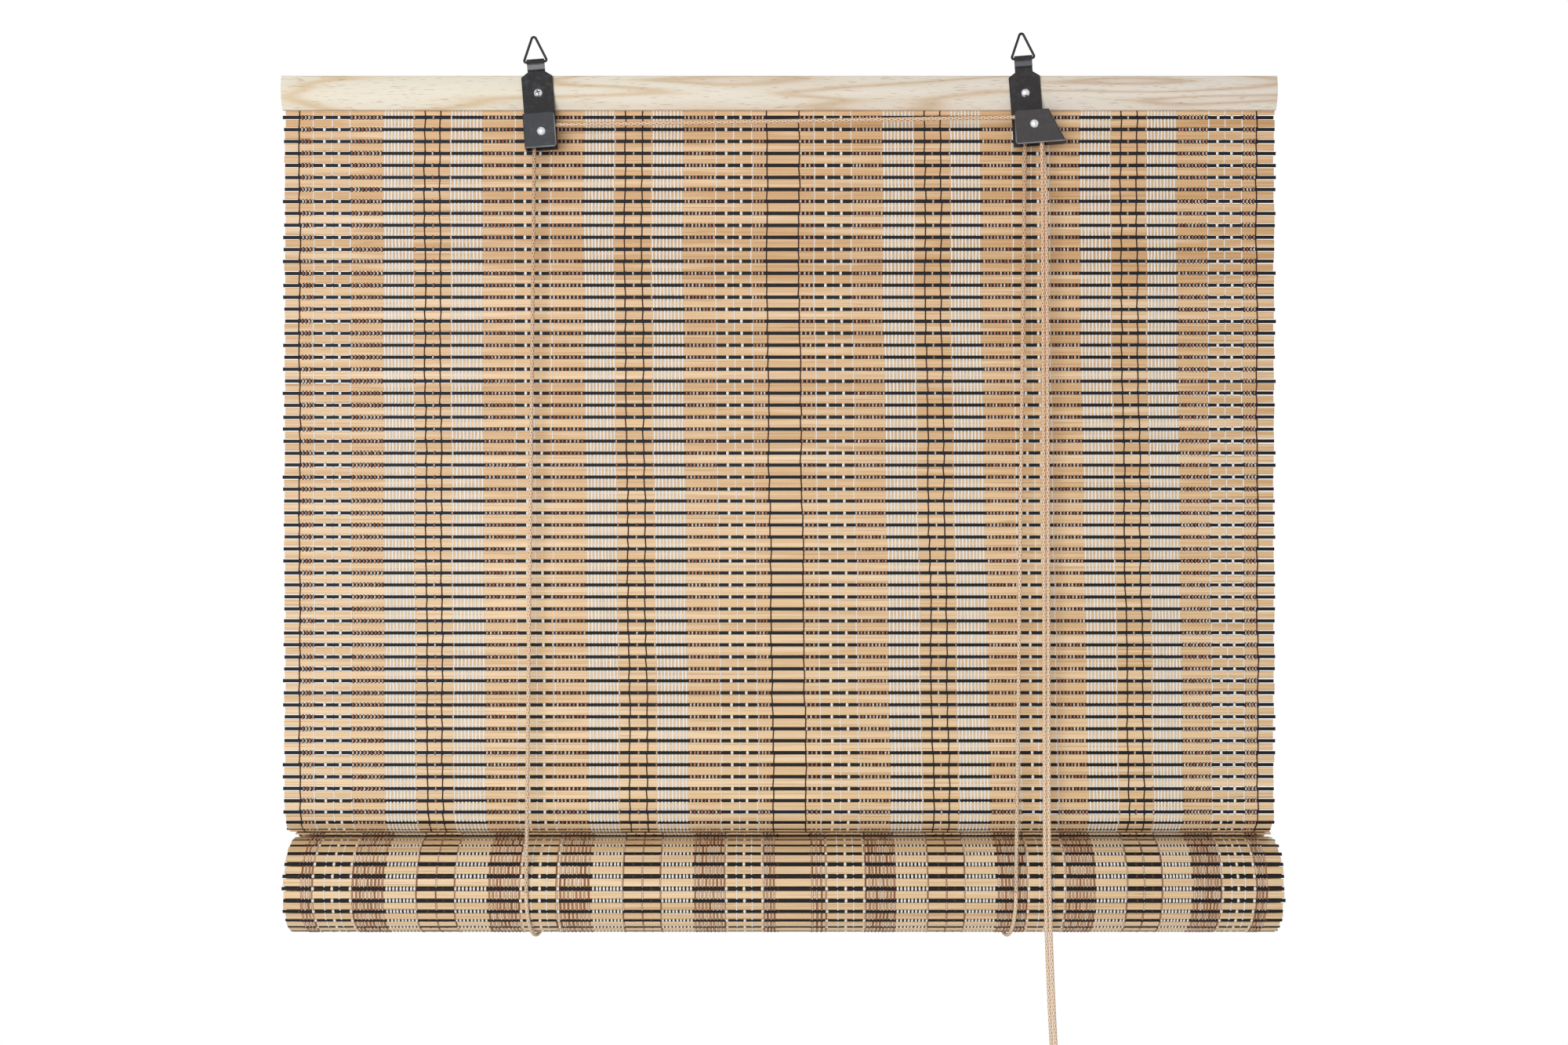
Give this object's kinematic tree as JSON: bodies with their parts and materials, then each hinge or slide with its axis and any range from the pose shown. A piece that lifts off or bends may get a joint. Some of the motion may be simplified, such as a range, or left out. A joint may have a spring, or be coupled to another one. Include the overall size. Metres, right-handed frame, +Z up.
{
  "type": "bamboo roll-up blind",
  "caption": "Woven bamboo blind on a wood headrail, rolled up from below by lift cords over two hook-on brackets, with a cord lock and hanging pull cords.",
  "frame": {"origin": "midway between the bearing points inside the two hanging rings, level with their mean height", "axes": "+X to the right along the headrail seen from the front, +Y away from the viewer, +Z up"},
  "size_m": [0.8035, 0.1046, 0.9139],
  "materials": {
    "headrail_wood": "bare planed softwood",
    "bamboo": "split bamboo with dark sticks",
    "black_steel": "black, worn edges",
    "bright_steel": "bright plated",
    "pulley_plastic": "moulded nylon",
    "roller_brass": "toothed brass",
    "cord": "copper and tan braid"
  },
  "bodies": {
    "blind": {"headrail": "headrail_wood", "mat": "bamboo", "mat_staples": "bright_steel", "cord_staples": "bright_steel", "left_bracket": "black_steel", "right_bracket": "black_steel", "left_screw": "bright_steel", "right_screw": "bright_steel", "left_axle_rivet": "bright_steel", "right_axle_rivet": "bright_steel", "cross_cord": "cord", "right_pulley_cord": "cord", "left_front_cord": "cord", "right_front_cord": "cord", "left_back_cord": "cord", "right_back_cord": "cord", "left_pull_cord": "cord", "right_pull_cord": "cord"},
    "left_ring": {"left_ring": "black_steel"},
    "right_ring": {"right_ring": "black_steel"},
    "left_pulley": {"left_pulley": "pulley_plastic"},
    "right_pulley": {"right_pulley": "pulley_plastic"},
    "lock_roller": {"lock_roller": "roller_brass"},
    "sling": {"mat_fold": "bamboo", "left_cord_sling": "cord", "right_cord_sling": "cord"},
    "roll": {"mat_roll": "bamboo", "bottom_rail": "headrail_wood"},
    "pull_end": {"left_cord_hank": "cord", "right_cord_hank": "cord", "hank_tie": "cord"}
  },
  "joints": [
    {"name": "left_ring_swing", "type": "hinge", "parent": "blind", "child": "left_ring", "pos_m": [-0.19524, 0, -0.02007], "axis": [0.9972, 0, 0.075], "range_deg": [-115, 160]},
    {"name": "right_ring_swing", "type": "hinge", "parent": "blind", "child": "right_ring", "pos_m": [0.19535, 0, -0.01728], "axis": [0.9972, 0, 0.075], "range_deg": [-115, 160]},
    {"name": "roll_lift", "type": "slide", "parent": "blind", "child": "sling", "axis": [0, 0, 1], "range_m": [0, 0.49767], "deforming": ["mat", "left_front_cord", "right_front_cord", "left_back_cord", "right_back_cord"]},
    {"name": "roll_turn", "type": "hinge", "parent": "sling", "child": "roll", "pos_m": [0.0035, 0.03418, -0.68336], "axis": [1, 0, 0], "range_deg": [-720, 0]},
    {"name": "pull_cord_draw", "type": "slide", "parent": "blind", "child": "pull_end", "axis": [0, 0, -1], "range_m": [0, 0.99536], "deforming": ["left_pull_cord", "right_pull_cord"]},
    {"name": "left_pulley_spin", "type": "hinge", "parent": "blind", "child": "left_pulley", "pos_m": [-0.1893, -0.00442, -0.07769], "axis": [0, 1, 0], "continuous": true},
    {"name": "right_pulley_spin", "type": "hinge", "parent": "blind", "child": "right_pulley", "pos_m": [0.20286, -0.00442, -0.07177], "axis": [0, 1, 0], "continuous": true},
    {"name": "lock_roller_slide", "type": "slide", "parent": "blind", "child": "lock_roller", "axis": [0.4769, 0, -0.8789], "range_m": [0, 0.0118]}
  ],
  "couplings": [
    {"joint": "roll_turn", "follows": "roll_lift", "rad_per_m": -25.25},
    {"joint": "pull_cord_draw", "follows": "roll_lift", "ratio": 2},
    {"joint": "left_pulley_spin", "follows": "roll_lift", "rad_per_m": 327.87},
    {"joint": "right_pulley_spin", "follows": "roll_lift", "rad_per_m": 327.87}
  ]
}
